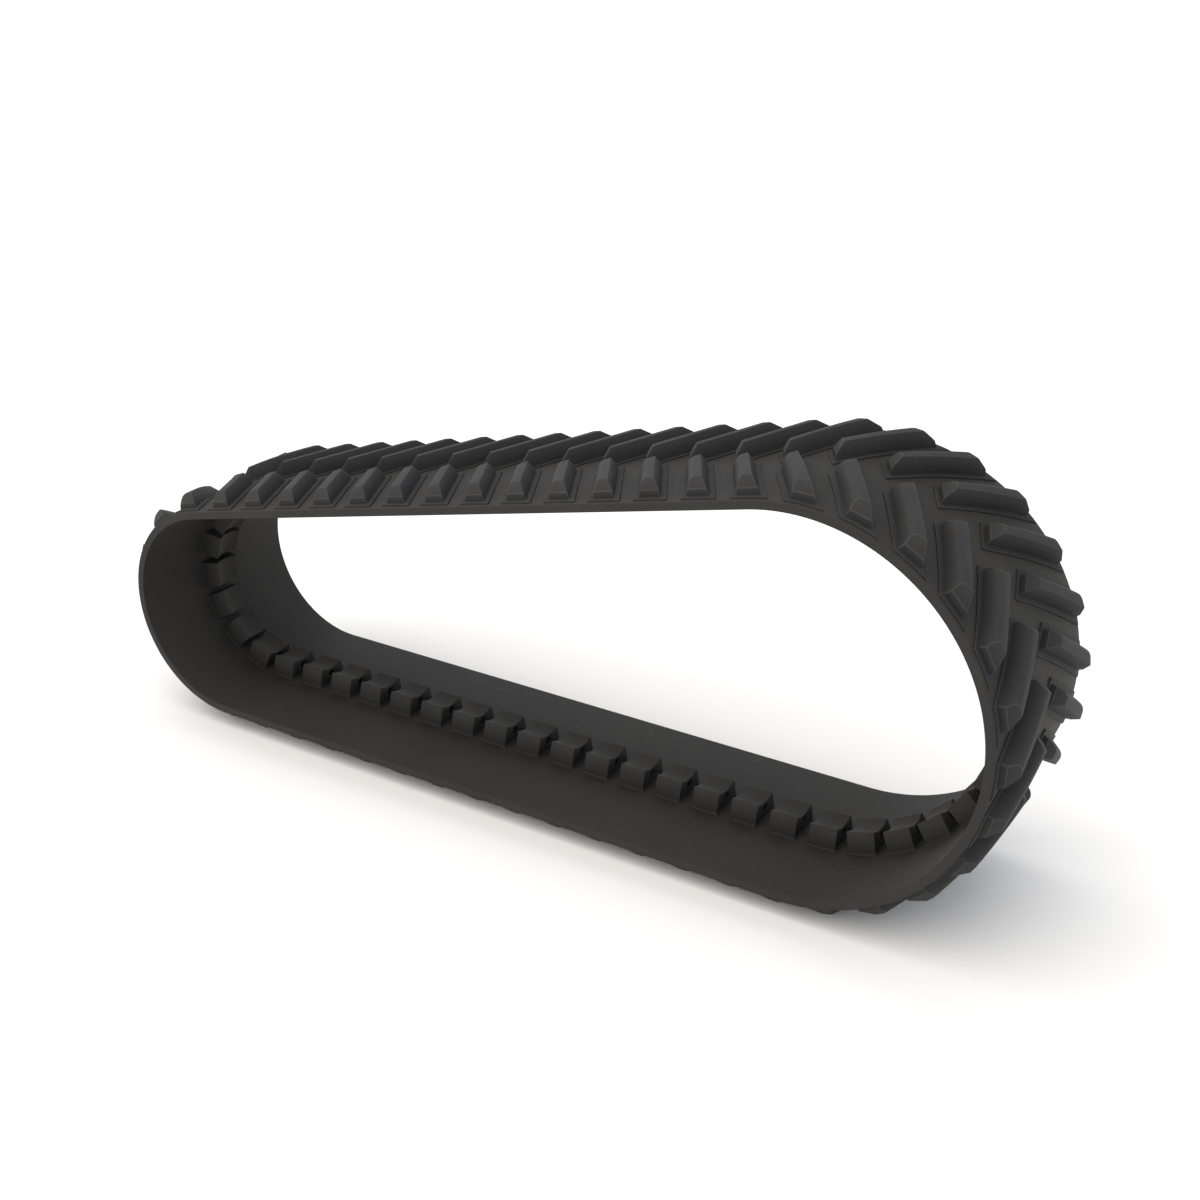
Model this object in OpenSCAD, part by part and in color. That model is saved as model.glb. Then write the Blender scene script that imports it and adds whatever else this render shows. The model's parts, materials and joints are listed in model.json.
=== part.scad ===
// Rubber track belt for a tractor undercarriage: an endless, cord-reinforced belt that runs
// round a large drive wheel and a small idler, with one row of guide lugs on its inside and
// two staggered rows of chevron tread bars on its outside.
//
// Millimetres, +Z up. The origin is on the ground, under the middle of the belt's length and
// width. The drive wheel is at the +X end, the idler at the -X end, and the left edge at -Y.

/* [Loop] */
// Radius of the belt's inner face on the drive wheel
drive_r = 640; // [500:5:760]
// Radius of the belt's inner face on the idler
idler_r = 382; // [300:2:460]
// Distance along the ground between the two wheel axes
wheel_spacing = 2340; // [1900:10:2900]
// Width of the belt
belt_w = 762; // [620:2:920]

/* [Carcass] */
// Rubber from the wheel face to the middle of the main cables
liner_t = 9; // [7:0.5:14]
// Rubber from the middle of the main cables to the first cord ply
cable_cover_t = 6; // [5.5:0.5:10]
// Thickness of each ply with cords on the bias
bias_ply_t = 2; // [1.5:0.5:4]
// Thickness of the ply with cords straight across the belt
cross_ply_t = 2; // [1.5:0.5:4]
// Rubber from the last ply to the foot of the tread bars
tread_base_t = 8; // [5:0.5:16]
// Width of the rubber strip that seals the plies' ends at each edge
edge_strip_w = 14; // [8:1:30]

/* [Main cables] */
// Diameter of one turn of main cable
cable_d = 8; // [5:0.5:10]
// Distance from one turn to the next
cable_pitch = 22; // [14:0.5:30]
// Least rubber between the outermost turns and the edge strips
cable_side_gap = 20; // [10:1:40]

/* [Guide lugs] */
// Number of guide lugs round the loop
lug_count = 54; // [40:1:60]
// Length of a lug along the belt
lug_len = 97; // [70:1:110]
// Height of a lug's two ridges above the inner face
lug_h = 75; // [55:1:95]
// Width across the ridges
lug_top_w = 108; // [80:1:140]
// Width where the side walls meet the foot fillet
lug_foot_w = 140; // [110:1:180]
// How far the side walls bulge beyond a straight line
lug_bulge = 3; // [0:0.5:8]
// Size of the sloped fillet round the foot
lug_fillet = 6; // [2:1:14]
// Depth of the saddle between the ridges
lug_saddle = 12; // [4:1:20]
// Width of each ridge, from the saddle to the side wall
lug_ridge_w = 5; // [4:0.5:12]
// Height of the bevel along the outside of each ridge
lug_ridge_bevel = 3; // [1:0.5:6]
// Diameter of the hole along each lug
lug_hole_d = 32; // [16:1:36]
// Rubber between the hole and the bottom of the saddle
lug_hole_cover = 8; // [4:1:12]
// Where the first lug stands, measured from under the drive wheel's axis
lug_start = 28; // [-60:1:60]

/* [Tread bars] */
// Number of bars in each row
bar_count = 47; // [36:1:52]
// Where the left row's first bar starts, measured from where the belt leaves the drive wheel
bar_start = 9; // [-60:1:60]
// Angle of a bar from straight across the belt
bar_angle = 30; // [15:1:40]
// Height of a bar above the carcass
bar_h = 58; // [35:1:75]
// Height of the low step round a bar's foot
bar_step_h = 6.5; // [3:0.5:12]
// Width of that step beside a bar
bar_step_w = 16; // [6:1:26]
// Width of that step past a bar's outer end
bar_step_outer_w = 21.5; // [6:0.5:26]
// Width of that step past a bar's inner end
bar_step_inner_w = 12; // [4:0.5:16]
// Distance from the belt's edge to a bar's outer end wall
bar_edge_gap = 37; // [20:1:60]
// Distance from the middle of the belt to the near corner of a bar's inner end
bar_centre_gap = 19; // [5:1:60]
// Width of a bar at its foot, along the belt
bar_foot_len = 82; // [60:1:110]
// Width of a bar where its side walls start to lean in
bar_knee_len = 66; // [40:1:100]
// Width of a bar's ground face, along the belt
bar_face_len = 35; // [25:1:70]
// How far the ground face stands off the middle of the foot, along the belt
bar_face_shift = -6; // [-12:1:12]
// Height at which the side walls and end walls start to lean in
bar_knee_h = 26; // [15:1:45]
// How far the outer end wall leans in, up to where it turns into the chamfer
bar_outer_draft = 4; // [0:0.5:10]
// How far the inner end wall leans in, up to where it turns into the chamfer
bar_inner_draft = 6; // [0:0.5:12]
// How far the chamfer at the outer end reaches in
bar_outer_chamfer = 36; // [10:1:50]
// How far the chamfer at the inner end reaches in
bar_inner_chamfer = 44; // [10:1:60]
// Pieces that a bar is bent in where it lies on a wheel
bar_bends = 6; // [3:1:8]

/* [Hidden] */
$fn = 128;
cover_h = liner_t + cable_cover_t;
inner_ply_h = cover_h + bias_ply_t;
outer_ply_h = inner_ply_h + bias_ply_t;
plies_h = outer_ply_h + cross_ply_t;
carcass_t = plies_h + tread_base_t;
belt_t = carcass_t + bar_h;
core_w = belt_w - 2 * edge_strip_w;
cable_sides = 12;
cable_turns = floor((core_w - 2 * cable_side_gap - cable_d) / cable_pitch) + 1;

// The return run slopes down from the drive wheel to the idler.
slope = 2 * atan((drive_r - idler_r) / wheel_spacing);
drive_wrap = 180 + slope;
idler_wrap = 180 - slope;
drive_x = (wheel_spacing - drive_r + idler_r) / 2;
idler_x = drive_x - wheel_spacing;
drive_c = [drive_x, belt_t + drive_r];
idler_c = [idler_x, belt_t + idler_r];

// Lengths along the inner face. A place on the loop is its distance from the point under the
// drive wheel's axis, going up the drive wheel, back along the return run, down the idler
// and forward along the ground run.
drive_arc = drive_r * drive_wrap * PI / 180;
idler_arc = idler_r * idler_wrap * PI / 180;
return_start = drive_arc;
idler_start = return_start + wheel_spacing;
ground_start = idler_start + idler_arc;
loop_len = ground_start + wheel_spacing;
lug_pitch = loop_len / lug_count;
bar_pitch = loop_len / bar_count;

// Guide lug: its root goes this far below the belt's face before the face trims it.
lug_root = 8;
lug_saddle_half = lug_top_w / 2 - lug_ridge_w;
lug_saddle_r = (pow(lug_saddle_half, 2) + pow(lug_saddle, 2)) / (2 * lug_saddle);
lug_hole_z = lug_h - lug_saddle - lug_hole_cover - lug_hole_d / 2;
// How far a cut runs past the faces that it goes through
through = 2;
// How far a straight stretch runs into the bends at its ends, so that a loop is one solid
lap = 0.05;
// How far the straight stretches stand out from the bends, and in from their sides, which keeps
// every joint a clean step
proud = 0.03;
// What a cross-section is narrowed by at each side
$inset = 0;

// Tread bar: the half width of the belt that its row has, and its inner end there.
lean = tan(bar_angle);
half_w = belt_w / 2;
bar_inner_far = half_w - bar_centre_gap;
bar_step_len = bar_foot_len + 2 * bar_step_w / cos(bar_angle);
// The side walls bulge: at this share of the way up from the knee to the ground face, they have
// come in by the second share.
bar_bulge_up = 0.62;
bar_bulge_in = 0.58;

// ---- Places on the loop ----

function wrapped(u) = u - loop_len * floor(u / loop_len);

// The direction that the belt's outside faces at u, as an angle from +X towards +Z.
function facing(u) =
    let (v = wrapped(u))
    v < return_start ? -90 + v / drive_r * 180 / PI
    : v < idler_start ? 90 + slope
    : v < ground_start ? 90 + slope + (v - idler_start) / idler_r * 180 / PI
    : 270;

// The point at u on the inner face, as [x, z].
function inner_point(u) =
    let (v = wrapped(u), a = facing(u), out = [cos(a), sin(a)])
    v < return_start ? drive_c + drive_r * out
    : v < idler_start ? drive_c + drive_r * out - (v - return_start) * [cos(slope), sin(slope)]
    : v < ground_start ? idler_c + idler_r * out
    : [idler_x + v - ground_start, belt_t];

// A point at u along the loop, y across it and h outwards from the inner face.
function belt_point(u, y, h) =
    let (p = inner_point(u), a = facing(u))
    [p[0] + h * cos(a), y, p[1] + h * sin(a)];

// True where u lies in the stretch of the loop that starts at a and ends at b.
function within(u, a, b) = wrapped(u) >= a && wrapped(u) < b;

// Stands its children at u on the inner face, their +Z towards the inside of the loop.
module on_inner_face(u) {
    p = inner_point(u);
    translate([p[0], 0, p[1]]) rotate([0, -90 - facing(u), 0]) children();
}

// Carries a cross-section round the loop: its x is the height outwards from the inner face,
// its y is the distance towards the left edge, and $inset narrows it.
module round_loop() {
    rotate([90, 0, 0]) {
        arc_round(drive_c, drive_r, -90, drive_wrap) children();
        arc_round(idler_c, idler_r, 90 + slope, idler_wrap) children();
        straight_off(drive_c, drive_r, -90) children();
        straight_off(idler_c, idler_r, 90 + slope) children();
    }
}

module arc_round(centre, r, start, wrap) {
    translate([centre[0], centre[1], 0]) rotate([0, 0, start])
        rotate_extrude(angle = wrap) translate([r, 0]) children();
}

// The straight stretch that leaves a wheel of radius r where the belt faces out_angle.
module straight_off(centre, r, out_angle) {
    translate([centre[0], centre[1], 0]) rotate([0, 0, out_angle]) rotate([90, 0, 0])
        translate([r + proud, 0, -lap]) linear_extrude(height = wheel_spacing + 2 * lap) {
            $inset = proud;
            children();
        }
}

// The cut end of a strip of belt from height a to height b, and from right to left.
module strip(a, b, right, left) {
    translate([a, right + sign(-right) * $inset])
        square([b - a, left - right - (sign(left) - sign(right)) * $inset]);
}

// A flat layer from height a to height b, as wide as w.
module layer(a, b, w) {
    strip(a, b, -w / 2, w / 2);
}

// The cut end of turn i of the main cable, twelve-sided like a bundle of strands.
module cable_end(i) {
    translate([liner_t, (i - (cable_turns - 1) / 2) * cable_pitch])
        circle(d = cable_d, $fn = cable_sides);
}

// The cut ends of all turns.
module cable_ends() {
    for (i = [0 : cable_turns - 1]) cable_end(i);
}

// ---- Carcass ----

module wheel_side_liner() {
    color("#3b3b3a") round_loop() difference() {
        layer(0, liner_t, belt_w);
        cable_ends();
    }
}

module main_cables() {
    color("#9a9c9f") for (i = [0 : cable_turns - 1]) round_loop() cable_end(i);
}

module cable_cover() {
    color("#2f2f2f") round_loop() difference() {
        layer(liner_t, cover_h, core_w);
        cable_ends();
    }
}

module inner_bias_ply() {
    color("#4a4136") round_loop() layer(cover_h, inner_ply_h, core_w);
}

module outer_bias_ply() {
    color("#54493c") round_loop() layer(inner_ply_h, outer_ply_h, core_w);
}

module cross_ply() {
    color("#453d34") round_loop() layer(outer_ply_h, plies_h, core_w);
}

// One edge strip, on the left edge for side = 1 and on the right edge for side = -1.
module edge_strip(side) {
    round_loop() strip(liner_t, plies_h, side > 0 ? core_w / 2 : -belt_w / 2,
        side > 0 ? belt_w / 2 : -core_w / 2);
}

module left_edge_strip() {
    color("#3b3b3a") edge_strip(1);
}

module right_edge_strip() {
    color("#3b3b3a") edge_strip(-1);
}

module tread_base() {
    color("#3b3b3a") round_loop() layer(plies_h, carcass_t, belt_w);
}

// ---- Guide lugs ----

// Half of a lug's end view, from the middle of its root to its ridge.
function lug_half_end() = [
    [0, -lug_root],
    [lug_foot_w / 2 + lug_fillet + lug_root, -lug_root],
    [lug_foot_w / 2, lug_fillet],
    for (t = [0.35, 0.65]) [
        lug_foot_w / 2 + (lug_top_w - lug_foot_w) / 2 * t + 4 * lug_bulge * t * (1 - t),
        lug_fillet + (lug_h - lug_fillet) * t
    ],
    [lug_top_w / 2, lug_h - lug_ridge_bevel],
    [lug_top_w / 2 - lug_ridge_bevel, lug_h],
    [0, lug_h]
];

// One lug, its foot at z = 0 and its length along x. Its root goes below the belt's face,
// which trims it.
module guide_lug() {
    difference() {
        translate([-lug_len / 2, 0, 0]) rotate([90, 0, 90]) linear_extrude(height = lug_len) {
            polygon(lug_half_end());
            mirror([1, 0]) polygon(lug_half_end());
        }
        translate([-lug_len / 2 - through, 0, lug_h - lug_saddle + lug_saddle_r])
            rotate([0, 90, 0]) cylinder(r = lug_saddle_r, h = lug_len + 2 * through);
        translate([-lug_len / 2 - through, 0, lug_hole_z])
            rotate([0, 90, 0]) cylinder(d = lug_hole_d, h = lug_len + 2 * through);
    }
}

// The space inside the belt's inner face.
module inside_of_belt() {
    rotate([90, 0, 0]) linear_extrude(height = belt_w, center = true) {
        translate(drive_c) circle(r = drive_r);
        translate(idler_c) circle(r = idler_r);
        polygon([
            drive_c - [0, drive_r + proud],
            drive_c + (drive_r + proud) * [-sin(slope), cos(slope)],
            idler_c + (idler_r + proud) * [-sin(slope), cos(slope)],
            idler_c - [0, idler_r + proud]
        ]);
    }
}

// The lugs whose middles lie from a to b along the loop.
module guide_lugs(a, b) {
    color("#3a3a39") intersection() {
        inside_of_belt();
        for (i = [0 : lug_count - 1])
            if (within(lug_start + i * lug_pitch, a, b))
                on_inner_face(lug_start + i * lug_pitch) guide_lug();
    }
}

module guide_lugs_drive() {
    guide_lugs(0, return_start);
}

module guide_lugs_return() {
    guide_lugs(return_start, idler_start);
}

module guide_lugs_idler() {
    guide_lugs(idler_start, ground_start);
}

module guide_lugs_ground() {
    guide_lugs(ground_start, loop_len);
}

// ---- Tread bars ----

// A bar's outline at one level, as [distance along the belt, distance in from the edge]
// pairs. It is len wide and moved by shift along the belt, its outer end is at near, and the
// far corner of its inner end is at far. Both sides are split into equal bends, and the first
// point is the outer end's corner on the trailing side.
function bar_outline(len, near, far, shift, bends) =
    let (
        rise = len / (2 * lean),
        trail_end = far,
        lead_end = far - rise
    )
    concat(
        [for (i = [0 : bends]) let (y = near + (trail_end - near) * i / bends)
            [lean * (y - bar_edge_gap) - len / 2 + shift, y]],
        [for (i = [bends : -1 : 0]) let (y = near + (lead_end - near) * i / bends)
            [lean * (y - bar_edge_gap) + len / 2 + shift, y]]
    );

// A bar's levels from its step to its ground face, each as [height, length, outer, inner,
// shift].
function bar_levels() =
    let (
        step_outer = bar_edge_gap - bar_step_outer_w,
        step_inner = bar_inner_far + bar_step_inner_w + bar_step_w,
        bulge_h = bar_knee_h + (bar_h - bar_knee_h) * bar_bulge_up,
        bulge_len = bar_knee_len - (bar_knee_len - bar_face_len) * bar_bulge_in
    )
    [
        [0, bar_step_len, step_outer, step_inner, 0],
        [bar_step_h, bar_step_len, step_outer, step_inner, 0],
        [bar_step_h, bar_foot_len, bar_edge_gap, bar_inner_far, 0],
        [bar_knee_h, bar_knee_len, bar_edge_gap + bar_outer_draft, bar_inner_far - bar_inner_draft,
            bar_face_shift * bar_knee_h / bar_h],
        [bulge_h, bulge_len, bar_edge_gap + bar_outer_chamfer * bar_bulge_up,
            bar_inner_far - bar_inner_chamfer * bar_bulge_up, bar_face_shift * bulge_h / bar_h],
        [bar_h, bar_face_len, bar_edge_gap + bar_outer_chamfer,
            bar_inner_far - bar_inner_chamfer, bar_face_shift]
    ];

// One bar whose outer end stands at u, on the left for side = -1 and on the right for
// side = 1.
module tread_bar(u, side, bends) {
    levels = bar_levels();
    ring = 2 * (bends + 1);
    points = [
        for (level = levels)
            for (p = bar_outline(level[1], level[2], level[3], level[4], bends))
                belt_point(u + p[0], side * (half_w - p[1]), carcass_t + level[0])
    ];
    walls = [for (k = [0 : len(levels) - 2]) for (i = [0 : ring - 1])
        let (a = k * ring + i, b = k * ring + (i + 1) % ring)
        each [[a, b, b + ring], [a, b + ring, a + ring]]];
    foot = [for (i = [0 : bends - 1])
        each [[i, ring - 1 - i, i + 1], [i + 1, ring - 1 - i, ring - 2 - i]]];
    top = (len(levels) - 1) * ring;
    face = [for (f = foot) [top + f[0], top + f[2], top + f[1]]];
    all_faces = concat(walls, foot, face);
    polyhedron(points, side > 0 ? all_faces : [for (f = all_faces) [f[0], f[2], f[1]]]);
}

// True where a bar whose outer end is at u lies partly on a wheel.
function bar_bent(u) =
    facing(u - bar_step_len) != facing(u + lean * half_w + bar_step_len);

// The bars of one row whose middles lie from a to b along the loop. The right row stands
// half a pitch behind the left row.
module tread_bars(side, a, b) {
    color("#353536") for (i = [0 : bar_count - 1]) {
        u = return_start + bar_start + (i + (side > 0 ? 0.5 : 0)) * bar_pitch;
        middle = u + lean * (half_w - bar_edge_gap) / 2;
        if (within(middle, a, b)) tread_bar(u, side, bar_bent(u) ? bar_bends : 1);
    }
}

module left_bars_drive() {
    tread_bars(-1, 0, return_start);
}

module left_bars_return() {
    tread_bars(-1, return_start, idler_start);
}

module left_bars_idler() {
    tread_bars(-1, idler_start, ground_start);
}

module left_bars_ground() {
    tread_bars(-1, ground_start, loop_len);
}

module right_bars_drive() {
    tread_bars(1, 0, return_start);
}

module right_bars_return() {
    tread_bars(1, return_start, idler_start);
}

module right_bars_idler() {
    tread_bars(1, idler_start, ground_start);
}

module right_bars_ground() {
    tread_bars(1, ground_start, loop_len);
}

wheel_side_liner();
main_cables();
cable_cover();
inner_bias_ply();
outer_bias_ply();
cross_ply();
left_edge_strip();
right_edge_strip();
tread_base();
guide_lugs_drive();
guide_lugs_return();
guide_lugs_idler();
guide_lugs_ground();
left_bars_drive();
left_bars_return();
left_bars_idler();
left_bars_ground();
right_bars_drive();
right_bars_return();
right_bars_idler();
right_bars_ground();
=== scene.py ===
"""Rubber track belt for a tractor undercarriage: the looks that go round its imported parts.

The belt is one vulcanised piece that runs round a large drive wheel and a small idler. Its
carcass is spun round the loop from a small cross-section, its guide lugs and tread bars are
each cut from a block once and then laid along the loop, and its buried cables and plies keep
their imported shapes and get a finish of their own.

Lengths in the classes are in millimetres, and every mesh is in metres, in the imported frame.
"""

import json
import logging
import math
from collections.abc import Callable, Iterator, Sequence
from contextlib import contextmanager
from dataclasses import dataclass
from enum import Enum
from typing import Any

import bmesh
import bpy
from mathutils import Matrix, Vector


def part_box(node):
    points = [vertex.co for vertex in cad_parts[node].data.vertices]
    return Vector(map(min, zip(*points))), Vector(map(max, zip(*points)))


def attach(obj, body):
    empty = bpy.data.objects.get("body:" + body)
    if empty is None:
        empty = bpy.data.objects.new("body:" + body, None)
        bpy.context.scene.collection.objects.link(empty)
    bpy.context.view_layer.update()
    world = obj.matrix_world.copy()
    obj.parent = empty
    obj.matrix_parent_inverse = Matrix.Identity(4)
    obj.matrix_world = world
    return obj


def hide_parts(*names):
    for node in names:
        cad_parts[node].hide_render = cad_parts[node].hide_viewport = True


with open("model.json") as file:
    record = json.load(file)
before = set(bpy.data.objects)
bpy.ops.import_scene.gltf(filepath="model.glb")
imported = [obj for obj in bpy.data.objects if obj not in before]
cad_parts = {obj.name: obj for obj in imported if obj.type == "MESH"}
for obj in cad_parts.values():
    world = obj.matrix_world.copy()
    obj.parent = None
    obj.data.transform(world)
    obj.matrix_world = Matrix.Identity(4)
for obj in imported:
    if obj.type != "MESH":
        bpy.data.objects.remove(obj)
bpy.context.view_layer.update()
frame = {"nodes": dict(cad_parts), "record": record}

LOG = logging.getLogger("track_belt")
BODY = "root"
Profile = Sequence[tuple[float, float]]
# How closely a face has to match one from before the rounding to count as the same flat
SAME_FACING = 0.998
# How far apart two points may lie and still count as one, and as being at one level
WELD_MM = 0.02
LEVEL_MM = 0.2
# Vulcanised natural rubber
RUBBER_IOR = 1.52


def mm(length: float) -> float:
    """Returns a length in millimetres as metres."""
    return length / 1000.0


def linear(colour: str) -> tuple[float, float, float, float]:
    """Turns an sRGB hex colour into the linear one that a shader takes.

    Args:
        colour: The colour as "#rrggbb".

    Returns:
        Linear red, green and blue, and full opacity.
    """
    channels = [int(colour[i:i + 2], 16) / 255.0 for i in (1, 3, 5)]
    curved = [c / 12.92 if c <= 0.04045 else ((c + 0.055) / 1.055) ** 2.4 for c in channels]
    return curved[0], curved[1], curved[2], 1.0


# ---- Bench: meshes shaped with Blender's own tools ----


def deselect_all() -> None:
    """Leaves no object selected, so that an operator acts only on what comes next."""
    if bpy.context.object and bpy.context.object.mode != "OBJECT":
        bpy.ops.object.mode_set(mode="OBJECT")
    bpy.ops.object.select_all(action="DESELECT")


def select_only(*pieces: bpy.types.Object) -> None:
    """Selects these objects alone, and makes the first one active."""
    deselect_all()
    for piece in pieces:
        piece.select_set(True)
    bpy.context.view_layer.objects.active = pieces[0]


class Workpiece:
    """One mesh on the bench, which starts as a primitive and is cut to shape."""

    def __init__(self, name: str, piece: bpy.types.Object) -> None:
        """Takes an object that was just added, and settles its place into its mesh.

        Args:
            name: What the piece is called.
            piece: The object, selected and active.
        """
        self.piece = piece
        piece.name = piece.data.name = name
        bpy.ops.object.transform_apply(location=True, rotation=True, scale=True)

    @classmethod
    def block(cls, name: str, low: Vector, high: Vector) -> "Workpiece":
        """Starts from a block between two corners.

        Args:
            name: What the piece is called.
            low: Its lowest corner.
            high: Its highest corner.

        Returns:
            The block.
        """
        deselect_all()
        bpy.ops.mesh.primitive_cube_add(size=1.0, location=(low + high) / 2)
        piece = bpy.context.object
        piece.scale = high - low
        return cls(name, piece)

    @classmethod
    def sheet(cls, name: str, centre: Vector, size: tuple[float, float],
              turn: tuple[float, float, float] = (0.0, 0.0, 0.0)) -> "Workpiece":
        """Starts from a flat rectangle.

        Args:
            name: What the piece is called.
            centre: The rectangle's middle.
            size: Its length along its own X and Y, before it is turned.
            turn: Its rotation about X, Y and Z.

        Returns:
            The rectangle.
        """
        deselect_all()
        bpy.ops.mesh.primitive_plane_add(size=1.0, location=centre, rotation=turn)
        piece = bpy.context.object
        piece.scale = (size[0], size[1], 1.0)
        return cls(name, piece)

    @classmethod
    def rod(cls, name: str, radius: float, length: float, centre: Vector,
            sides: int) -> "Workpiece":
        """Starts from a rod that lies along X.

        Args:
            name: What the piece is called.
            radius: The rod's radius.
            length: Its length.
            centre: Its middle.
            sides: How many flats go round it.

        Returns:
            The rod.
        """
        deselect_all()
        bpy.ops.mesh.primitive_cylinder_add(vertices=sides, radius=radius, depth=length,
                                            location=centre, rotation=(0, math.pi / 2, 0))
        return cls(name, bpy.context.object)

    @contextmanager
    def shaping(self) -> Iterator[bmesh.types.BMesh]:
        """Opens the piece in edit mode with nothing selected, and closes it afterwards."""
        select_only(self.piece)
        bpy.ops.object.mode_set(mode="EDIT")
        bpy.ops.mesh.select_all(action="DESELECT")
        yield bmesh.from_edit_mesh(self.piece.data)
        bpy.ops.object.mode_set(mode="OBJECT")

    def carve(self, point: Vector, outward: Vector) -> None:
        """Cuts away all that lies on the outer side of a plane, and closes the cut.

        Args:
            point: A point on the plane.
            outward: The plane's normal, which points at what goes.
        """
        with self.shaping():
            bpy.ops.mesh.select_all(action="SELECT")
            bpy.ops.mesh.bisect(plane_co=point, plane_no=outward, use_fill=True,
                                clear_outer=True)

    def carve_wall(self, low: Vector, high: Vector, along: Vector, outward: Vector) -> None:
        """Cuts a sloped wall through two points, one above the other.

        Args:
            low: A point at the wall's foot.
            high: A point at its top.
            along: The level direction in which the wall runs.
            outward: Roughly the side that goes.
        """
        normal = along.cross(high - low).normalized()
        self.carve(low, normal if normal.dot(outward) > 0 else -normal)

    def score(self, axis: Vector, start: float, end: float, step: float) -> None:
        """Adds cuts square to an axis at even steps, so that the piece can bend there.

        Args:
            axis: The direction along which the cuts follow each other.
            start: Where the first cut lies along it.
            end: Where the cuts stop.
            step: The distance between cuts.
        """
        with self.shaping():
            for i in range(int((end - start) / step) + 1):
                bpy.ops.mesh.select_all(action="SELECT")
                bpy.ops.mesh.bisect(plane_co=axis * (start + i * step), plane_no=axis)

    def round_edges(self, radius: float, sharper_than: float, segments: int = 2,
                    where: Callable[[Vector], bool] = lambda middle: True) -> None:
        """Rounds the sharp edges, and marks the rounds as the places that wear first.

        Args:
            radius: How far a round reaches from its edge.
            sharper_than: The least angle between two faces, in degrees, that counts as sharp.
            segments: The number of flats in a round.
            where: Tells from an edge's middle whether it is one to round.
        """
        with self.shaping() as mesh:
            flats = [face.normal.copy() for face in mesh.faces]
            bpy.ops.mesh.select_mode(type="EDGE")
            for edge in mesh.edges:
                sharp = edge.is_manifold and edge.calc_face_angle() > math.radians(sharper_than)
                if sharp and where((edge.verts[0].co + edge.verts[1].co) / 2):
                    edge.select_set(True)
            bmesh.update_edit_mesh(self.piece.data)
            bpy.ops.mesh.bevel(offset=radius, offset_type="OFFSET", segments=segments,
                               profile=0.5, affect="EDGES", clamp_overlap=True)
            mesh = bmesh.from_edit_mesh(self.piece.data)
            worn = mesh.faces.layers.float.new("worn")
            for face in mesh.faces:
                face[worn] = float(all(face.normal.dot(flat) < SAME_FACING for flat in flats))
            bmesh.update_edit_mesh(self.piece.data)

    def cut_with(self, cutter: "Workpiece") -> None:
        """Takes another piece's shape out of this one, and uses that piece up."""
        select_only(self.piece)
        difference = self.piece.modifiers.new("cut", "BOOLEAN")
        difference.operation, difference.solver = "DIFFERENCE", "EXACT"
        difference.object = cutter.piece
        bpy.ops.object.modifier_apply(modifier=difference.name)
        bpy.data.objects.remove(cutter.piece)

    def paint_rise(self, top: float) -> None:
        """Stores how high each point stands, from 0 at the foot to 1 at the given height."""
        mesh = self.piece.data
        rise = mesh.attributes.new("rise", "FLOAT", "POINT")
        rise.data.foreach_set("value", [min(max(v.co.z / top, 0.0), 1.0) for v in mesh.vertices])

    def laid(self, move: Callable[[Vector], Vector]) -> bpy.types.Object:
        """Makes a copy with its own mesh, each point moved to its place.

        Args:
            move: Gives a point's place from where it is on the bench.

        Returns:
            The copy.
        """
        copy = self.piece.copy()
        copy.data = self.piece.data.copy()
        bpy.context.scene.collection.objects.link(copy)
        for vertex in copy.data.vertices:
            vertex.co = move(vertex.co)
        return copy

    def scrap(self) -> None:
        """Removes the piece from the bench once its copies are laid."""
        bpy.data.objects.remove(self.piece)


def joined(name: str, pieces: Sequence[bpy.types.Object]) -> bpy.types.Object:
    """Joins pieces into one named object with its faces outwards.

    Args:
        name: What the object is called.
        pieces: The pieces, which are used up.

    Returns:
        The object.
    """
    select_only(*pieces)
    if len(pieces) > 1:
        bpy.ops.object.join()
    whole = pieces[0]
    whole.name = whole.data.name = name
    finish_faces(whole)
    return whole


def finish_faces(piece: bpy.types.Object, smooth_below: float = 28.0) -> None:
    """Turns a piece's faces outwards and smooths its gentle edges.

    Args:
        piece: The piece.
        smooth_below: The angle between faces, in degrees, up to which an edge looks smooth.
    """
    select_only(piece)
    bpy.ops.object.mode_set(mode="EDIT")
    bpy.ops.mesh.select_all(action="SELECT")
    bpy.ops.mesh.normals_make_consistent(inside=False)
    bpy.ops.object.mode_set(mode="OBJECT")
    bpy.ops.object.shade_smooth_by_angle(angle=math.radians(smooth_below))


# ---- Finishes ----


def add_node(tree: bpy.types.NodeTree, kind: str, inputs: dict[int | str, Any] | None = None,
             **settings: Any) -> bpy.types.Node:
    """Adds a node with its settings and links.

    Args:
        tree: The tree that it joins.
        kind: The node's type.
        inputs: Each socket's name or number, with a value or the socket that feeds it.
        **settings: The node's own settings.

    Returns:
        The node.
    """
    node = tree.nodes.new(kind)
    for name, value in settings.items():
        setattr(node, name, value)
    for name, value in (inputs or {}).items():
        if isinstance(value, bpy.types.NodeSocket):
            tree.links.new(value, node.inputs[name])
        else:
            node.inputs[name].default_value = value
    return node


def blended(tree: bpy.types.NodeTree, share: Any, first: Any, second: Any) -> bpy.types.NodeSocket:
    """Mixes two colours.

    Args:
        tree: The tree that the node joins.
        share: How much of the second colour shows, or the socket that gives it.
        first: The first colour, or its socket.
        second: The second colour, or its socket.

    Returns:
        The mixed colour's socket.
    """
    mix = add_node(tree, "ShaderNodeMix", {0: share, 6: first, 7: second}, data_type="RGBA")
    return mix.outputs[2]


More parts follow.
